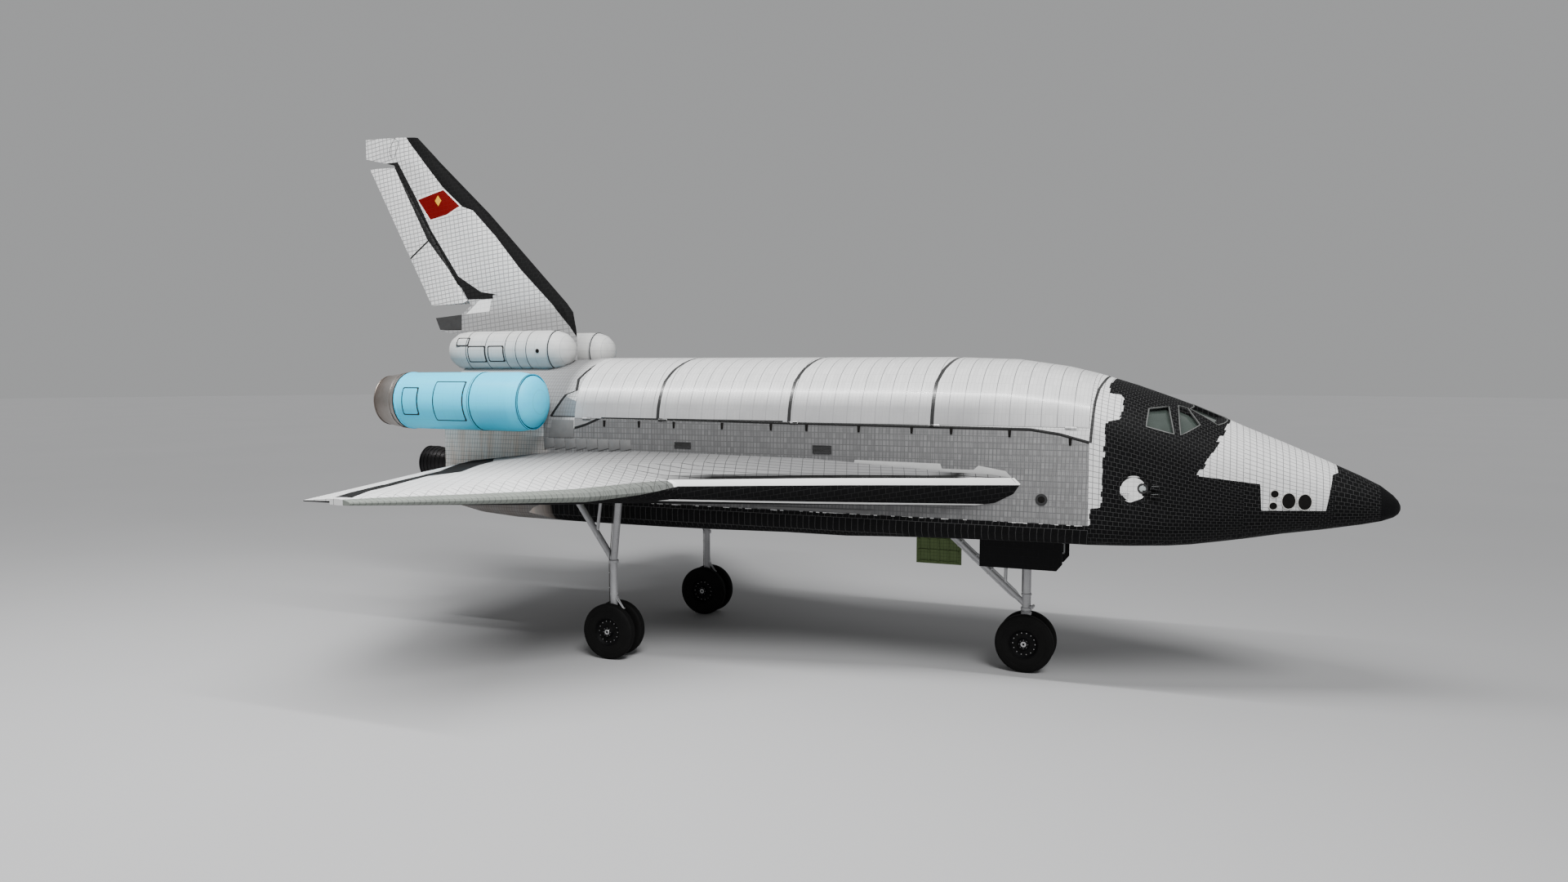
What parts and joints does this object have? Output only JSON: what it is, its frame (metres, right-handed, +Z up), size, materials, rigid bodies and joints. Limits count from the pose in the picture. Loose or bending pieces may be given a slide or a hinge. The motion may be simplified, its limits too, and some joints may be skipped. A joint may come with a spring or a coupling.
{
  "type": "space shuttle test aircraft",
  "caption": "Full-size winged shuttle test aircraft with jet pods, payload bay doors, control surfaces and crew hatch, standing on its landing gear.",
  "frame": {"origin": "on the ground, in the middle of the length and of the span, with the wheels standing on z = 0", "axes": "+X towards the nose, +Y to port, +Z up"},
  "size_m": [36.37, 23.92, 18.6],
  "materials": {
    "white_tile": "matt white tiles with fine joints",
    "white_felt": "soft white panels with fine joints",
    "black_tile": "matt black tiles with pale joints",
    "dark_paint": "matt black paint",
    "green_primer": "matt green primer",
    "pale_blue_paint": "satin pale blue paint",
    "heated_steel": "heat-stained brushed steel",
    "dark_steel": "dark scorched steel",
    "silver_paint": "satin silver-grey paint",
    "hub_grey": "dark grey paint",
    "cabin_grey": "matt grey paint",
    "seat_fabric": "dark woven cover",
    "window_glass": "clear",
    "tyre": "matt black rubber"
  },
  "bodies": {
    "airframe": {"forward_fuselage": "black_tile", "mid_fuselage": "white_tile", "aft_fuselage": "white_tile", "windshield_glass": "window_glass", "instrument_panel": "cabin_grey", "crew_seat_left": "seat_fabric", "crew_seat_right": "seat_fabric", "wing_left": "white_tile", "wing_right": "white_tile", "fin": "white_tile", "drag_chute_housing": "dark_paint", "side_pod_left": "pale_blue_paint", "side_pod_right": "pale_blue_paint", "intake_cover_left": "pale_blue_paint", "intake_cover_right": "pale_blue_paint", "exhaust_nozzle_left": "heated_steel", "exhaust_nozzle_right": "heated_steel", "top_pod_left": "white_felt", "top_pod_right": "white_felt", "engine_bell_left": "dark_steel", "engine_bell_right": "dark_steel", "nose_leg": "silver_paint", "nose_drag_brace": "silver_paint", "nose_actuator": "silver_paint", "nose_door_front_left": "dark_paint", "nose_door_front_right": "dark_paint", "nose_door_aft": "green_primer", "main_leg_left": "silver_paint", "main_drag_brace_left": "silver_paint", "main_actuator_left": "silver_paint", "main_leg_right": "silver_paint", "main_drag_brace_right": "silver_paint", "main_actuator_right": "silver_paint"},
    "nose_steering": {"nose_steered_leg": "silver_paint"},
    "nose_wheels": {"nose_wheel_hubs": "hub_grey", "nose_tyre_left": "tyre", "nose_tyre_right": "tyre"},
    "main_wheels_left": {"main_left_wheel_hubs": "hub_grey", "main_left_tyre_left": "tyre", "main_left_tyre_right": "tyre"},
    "main_wheels_right": {"main_right_wheel_hubs": "hub_grey", "main_right_tyre_left": "tyre", "main_right_tyre_right": "tyre"},
    "bay_door_port": {"bay_door_left": "white_felt"},
    "bay_door_starboard": {"bay_door_right": "white_felt"},
    "hatch": {"crew_hatch": "white_tile"},
    "elevon_port_inner": {"elevon_inner_left": "white_tile"},
    "elevon_port_outer": {"elevon_outer_left": "white_tile"},
    "elevon_starboard_inner": {"elevon_inner_right": "white_tile"},
    "elevon_starboard_outer": {"elevon_outer_right": "white_tile"},
    "rudder": {"rudder_lower": "white_tile", "rudder_upper": "white_tile"},
    "flap": {"body_flap": "black_tile"}
  },
  "joints": [
    {"name": "nose_steer", "type": "hinge", "parent": "airframe", "child": "nose_steering", "pos_m": [7.965, 0, 1.9], "axis": [0, 0, 1], "range_deg": [-30, 30]},
    {"name": "nose_wheel_spin", "type": "hinge", "parent": "nose_steering", "child": "nose_wheels", "pos_m": [7.965, 0, 0.915], "axis": [0, 1, 0], "continuous": true},
    {"name": "main_wheel_spin_left", "type": "hinge", "parent": "airframe", "child": "main_wheels_left", "pos_m": [-4.955, 3.5, 0.915], "axis": [0, 1, 0], "continuous": true},
    {"name": "main_wheel_spin_right", "type": "hinge", "parent": "airframe", "child": "main_wheels_right", "pos_m": [-4.955, -3.5, 0.915], "axis": [0, 1, 0], "continuous": true},
    {"name": "bay_door_left_hinge", "type": "hinge", "parent": "airframe", "child": "bay_door_port", "pos_m": [1, 2.7904, 7.85], "axis": [-1, 0, 0], "range_deg": [0, 150]},
    {"name": "bay_door_right_hinge", "type": "hinge", "parent": "airframe", "child": "bay_door_starboard", "pos_m": [1, -2.7904, 7.85], "axis": [1, 0, 0], "range_deg": [0, 150]},
    {"name": "crew_hatch_hinge", "type": "hinge", "parent": "airframe", "child": "hatch", "pos_m": [11.735, -2.6455, 6.16], "axis": [0, 0, 1], "range_deg": [0, 100]},
    {"name": "elevon_inner_left_hinge", "type": "hinge", "parent": "airframe", "child": "elevon_port_inner", "pos_m": [-11.357, 3.02, 5.965], "axis": [0.2873, 0.9578, 0], "range_deg": [-20, 35]},
    {"name": "elevon_outer_left_hinge", "type": "hinge", "parent": "airframe", "child": "elevon_port_outer", "pos_m": [-10.127, 7.12, 5.965], "axis": [0.2873, 0.9578, 0], "range_deg": [-20, 35]},
    {"name": "elevon_inner_right_hinge", "type": "hinge", "parent": "airframe", "child": "elevon_starboard_inner", "pos_m": [-11.357, -3.02, 5.965], "axis": [-0.2873, 0.9578, 0], "range_deg": [-20, 35]},
    {"name": "elevon_outer_right_hinge", "type": "hinge", "parent": "airframe", "child": "elevon_starboard_outer", "pos_m": [-10.127, -7.12, 5.965], "axis": [-0.2873, 0.9578, 0], "range_deg": [-20, 35]},
    {"name": "rudder_hinge", "type": "hinge", "parent": "airframe", "child": "rudder", "pos_m": [-13.435, 0, 12.05], "axis": [-0.5359, 0, 0.8443], "range_deg": [-23, 23]},
    {"name": "body_flap_hinge", "type": "hinge", "parent": "airframe", "child": "flap", "pos_m": [-12.495, 0, 4.86], "axis": [0, 1, 0], "range_deg": [-20, 10]}
  ]
}
